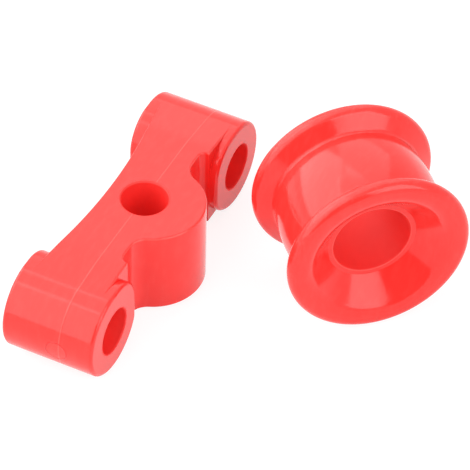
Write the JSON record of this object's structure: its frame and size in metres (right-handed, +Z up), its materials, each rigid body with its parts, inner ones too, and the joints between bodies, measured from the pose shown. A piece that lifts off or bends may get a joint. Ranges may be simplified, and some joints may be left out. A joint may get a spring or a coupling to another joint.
{
  "type": "shift linkage bushing set",
  "caption": "Moulded polyurethane linkage bushings: a block with a bolt eye at each end and an upright bore in its boss, and a flanged spool with dished ends.",
  "frame": {"origin": "on the axis of the mount bushing's upright bore, level with the axes of its two eye bores", "axes": "+Z up along the upright bore, +X from one eye to the other, +Y along the eye bores"},
  "size_m": [0.093, 0.0921, 0.0472],
  "materials": {
    "polyurethane": "glossy moulded coral red polyurethane"
  },
  "bodies": {
    "mount": {"mount_bushing": "polyurethane"},
    "spool": {"spool_bushing": "polyurethane"}
  },
  "joints": [
    {"name": "spool_lift", "type": "slide", "parent": "mount", "child": "spool", "axis": [0, 0, 1], "range_m": [0, 0.06]}
  ]
}
